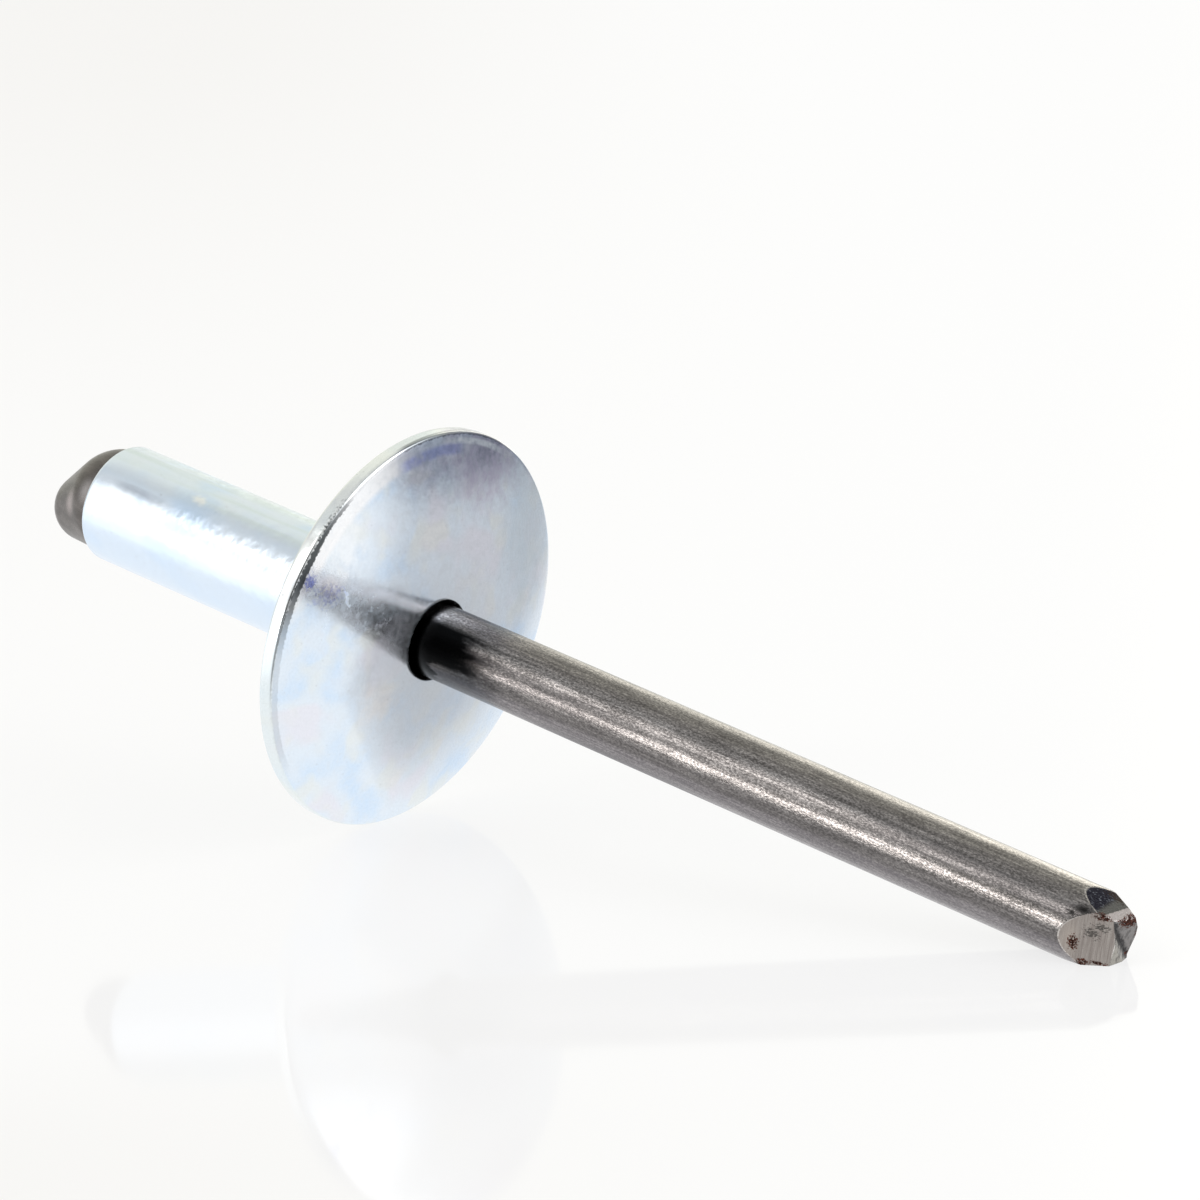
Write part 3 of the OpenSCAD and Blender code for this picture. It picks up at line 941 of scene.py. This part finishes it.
# What stands round the object, as the metal sees it: where each thing is in degrees, how wide and
# high it reaches from its middle, its tone, and how much of it fades out
ROOM = (
    ("left wall", 138, 26, 62, 56, (0.90, 0.90, 0.82), 0.4),
    ("far window", 109, 18, 16, 30, (2.9, 2.8, 2.5), 0.6),
    ("far room", 56, 3, 28, 16, (0.22, 0.24, 0.29), 0.5),
    ("ceiling lamp", 20, 38, 34, 18, (3.2, 3.2, 3.3), 0.5),
    ("far ceiling", 80, 64, 20, 14, (0.35, 0.35, 0.36), 0.6),
    ("right wall", 8, 15, 30, 15, (2.5, 2.5, 2.6), 0.5),
    ("camera side", -74, 12, 24, 36, (0.01, 0.01, 0.012), 0.3),
    ("window", -135, 10, 19, 38, (1.4, 1.4, 1.4), 0.45),
    ("window pane", -119, 4, 7, 12, (7.4, 7.1, 6.9), 0.5),
    ("upper pane", -119.5, 40, 7.5, 13, (3.6, 3.5, 3.45), 0.6),
    ("high pane", -129, 54, 8, 7, (3.0, 3.0, 3.0), 0.7),
    ("dark lintel", -143, 56, 22, 9, (0.68, 0.70, 0.71), 0.7),
)


def light_world():
    """White to the camera. Metal sees grey walls with the things of ROOM in front of them."""
    world = bpy.data.worlds.get("studio") or bpy.data.worlds.new("studio")
    bpy.context.scene.world = world
    world.use_nodes = True
    t = Tree(world.node_tree)
    direction = t.add("ShaderNodeTexCoord", output="Generated")
    walls = (0.66, 0.66, 0.66)
    tone = walls
    for _, azimuth, elevation, wide, high, level, soft in ROOM:
        rotation = (0, -math.radians(elevation), math.radians(azimuth))
        size = (1.0, 2 * math.sin(math.radians(wide / 2)), 2 * math.sin(math.radians(high / 2)))
        share = t.patch(direction, facing(azimuth, elevation), size, soft, rotation=rotation)
        tone = t.mix(share, tone, level)
    seen = t.add("ShaderNodeLightPath", output="Is Camera Ray")
    tone = t.mix(seen, tone, (1.0, 1.0, 1.0))
    light = t.add("ShaderNodeBackground", {"Color": tone, "Strength": 1.0})
    t.add("ShaderNodeOutputWorld", {"Surface": light})


def build_floor(s):
    """A wide white floor with a soft shadow and a faint mirror image, and other tones to the metal."""
    half, height = 2.0, -0.01 * MM
    right_way, far_way = (0.769, 0.639, 0.0), (-0.639, 0.769, 0.0)
    ways = ((-1, -1), (1, -1), (1, 1), (-1, 1))
    corners = np.array([(x * half, y * half, height) for x, y in ways])
    floor = make_piece("floor", corners, [(0, 1, 2, 3)])
    material = new_material("white_floor")
    material.cycles.emission_sampling = "NONE"
    t = Tree(material.node_tree)
    at = t.add("ShaderNodeTexCoord", output="Object")
    x, y, _ = t.split(at)

    # As the camera sees it: near white, a little less so on the left, in front and far off
    lit = t.add("ShaderNodeBsdfDiffuse", {"Color": (0.92, 0.92, 0.92, 1.0)})
    right, far = t.towards(at, right_way), t.towards(at, far_way)
    fall = t.most(t.span(far, -12 * MM, -36 * MM), t.span(far, 30 * MM, 240 * MM, 0.25, 1.0))
    fall = t.times(fall, t.span(right, 22 * MM, -32 * MM))
    glow = t.mix(fall, (1.0, 1.0, 1.0), (0.925, 0.915, 0.90))
    white = t.add("ShaderNodeEmission", {"Color": glow, "Strength": 1.0})
    mirror = t.add("ShaderNodeBsdfGlossy", {"Color": (1.0, 1.0, 1.0, 1.0), "Roughness": 0.06})
    camera = t.add("ShaderNodeMixShader", {0: s.shadow, 1: white, 2: lit})
    camera = t.add("ShaderNodeMixShader", {0: s.gloss, 1: camera, 2: mirror})

    # As the metal sees it: white round the object, a painted shadow of the flange on the far side and
    # darker further off, dark on the camera's side, and painted light below the window
    turned = t.math("ARCTAN2", y, x)
    # The flange's painted shadow on the floor, as the metal sees it
    far_side = t.times(
        t.span(turned, math.radians(27), math.radians(46)),
        t.span(x, -9.5 * MM, -4.8 * MM), t.span(y, -2 * MM, 3.5 * MM),
    )
    away = t.span(t.reach(at), 42 * MM, 102 * MM)
    tone = t.mix(far_side, (1.0, 1.0, 1.0), t.mix(away, (0.62, 0.62, 0.63), (0.22, 0.24, 0.28)))
    camera_side = t.times(t.span(y, -11 * MM, -24 * MM), t.span(x, -12 * MM, -4 * MM))
    tone = t.mix(camera_side, tone, (0.30, 0.30, 0.31))
    window_side = t.times(t.span(y, -14 * MM, -32 * MM), t.span(x, -18 * MM, -34 * MM))
    tone = t.mix(window_side, tone, (1.25, 1.25, 1.25))
    metal = t.add("ShaderNodeEmission", {"Color": tone, "Strength": 1.0})
    seen = t.add("ShaderNodeLightPath", output="Is Camera Ray")
    surface = t.add("ShaderNodeMixShader", {0: seen, 1: metal, 2: camera})
    t.add("ShaderNodeOutputMaterial", {"Surface": surface})
    floor.data.materials.append(material)


def hang_lamp(name, azimuth, elevation, distance, size, power):
    """A square soft lamp in that direction, facing the object, that metal does not mirror."""
    data = bpy.data.lights.new(name, "AREA")
    data.size = size
    data.energy = power
    lamp = new_object(name, data)
    lamp.visible_glossy = False
    turn = Matrix.Rotation(math.radians(azimuth + 90), 4, "Z")
    tilt = Matrix.Rotation(math.radians(90 - elevation), 4, "X")
    at = Matrix.Translation([distance * part for part in facing(azimuth, elevation)])
    lamp.matrix_world = at @ (turn @ tilt)


def set_camera(s):
    """The camera at its distance from the target, level but for its roll."""
    data = bpy.data.cameras.new("camera")
    data.lens = s.lens
    data.sensor_width = 36.0
    data.clip_start = 0.01
    camera = new_object("camera", data)
    turn = (
        Matrix.Rotation(s.azimuth, 4, "Z") @ Matrix.Rotation(math.pi / 2 - s.elevation, 4, "X")
        @ Matrix.Rotation(s.roll, 4, "Z")
    )
    back = turn @ Matrix.Translation((0, 0, s.distance))
    camera.matrix_world = Matrix.Translation(s.target) @ back
    bpy.context.scene.camera = camera


class RIVET_OT_plated_body(bpy.types.Operator):
    """Build the hollow shank with its domed flange and give it the zinc finish"""

    bl_idname = "rivet.plated_body"
    bl_label = "Plated Body"
    bl_options = {"REGISTER", "UNDO"}

    def execute(self, context):
        settings = context.scene.rivet_body
        piece = build_body(settings)
        piece.data.materials.append(plating(settings))
        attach(piece, "root")
        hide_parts("rivet_body")
        return {"FINISHED"}


class RIVET_OT_wire_mandrel(bpy.types.Operator):
    """Build the wire mandrel with its head and its cut point and give it the bare steel finish"""

    bl_idname = "rivet.wire_mandrel"
    bl_label = "Wire Mandrel"
    bl_options = {"REGISTER", "UNDO"}

    def execute(self, context):
        settings = context.scene.rivet_mandrel
        piece = build_mandrel(settings, context.scene.rivet_body)
        piece.data.materials.append(bare_wire(settings))
        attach(piece, "root")
        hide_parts("mandrel")
        return {"FINISHED"}


class RIVET_OT_stage(bpy.types.Operator):
    """Set up the white floor, the light and the camera"""

    bl_idname = "rivet.stage"
    bl_label = "Stage"
    bl_options = {"REGISTER", "UNDO"}

    def execute(self, context):
        settings = context.scene.rivet_stage
        light_world()
        build_floor(settings)
        hang_lamp("key", azimuth=-125, elevation=42, distance=0.5, size=0.25, power=settings.key)
        set_camera(settings)
        context.scene.view_settings.view_transform = "Standard"
        return {"FINISHED"}


class RIVET_PT_panel(bpy.types.Panel):
    """Lists the rivet's settings and the buttons that build it"""

    bl_idname = "RIVET_PT_panel"
    bl_label = "Blind Rivet"
    bl_space_type = "VIEW_3D"
    bl_region_type = "UI"
    bl_category = "Rivet"

    def draw(self, context):
        parts = (
            (context.scene.rivet_body, "rivet.plated_body"),
            (context.scene.rivet_mandrel, "rivet.wire_mandrel"),
            (context.scene.rivet_stage, "rivet.stage"),
        )
        for settings, operator in parts:
            box = self.layout.box()
            for name in settings.__annotations__:
                box.prop(settings, name)
            box.operator(operator)


CLASSES = (
    BodySettings,
    MandrelSettings,
    StageSettings,
    RIVET_OT_plated_body,
    RIVET_OT_wire_mandrel,
    RIVET_OT_stage,
    RIVET_PT_panel,
)


def register():
    """Makes the rivet's settings, operators and panel known to Blender."""
    for cls in CLASSES:
        bpy.utils.register_class(cls)
    bpy.types.Scene.rivet_body = PointerProperty(type=BodySettings)
    bpy.types.Scene.rivet_mandrel = PointerProperty(type=MandrelSettings)
    bpy.types.Scene.rivet_stage = PointerProperty(type=StageSettings)


def unregister():
    """Takes the rivet's settings, operators and panel out of Blender again."""
    del bpy.types.Scene.rivet_stage
    del bpy.types.Scene.rivet_mandrel
    del bpy.types.Scene.rivet_body
    for cls in reversed(CLASSES):
        bpy.utils.unregister_class(cls)


def main():
    """Builds the rivet and its stage."""
    register()
    bpy.ops.rivet.plated_body()
    bpy.ops.rivet.wire_mandrel()
    bpy.ops.rivet.stage()


if __name__ == "__main__":
    main()
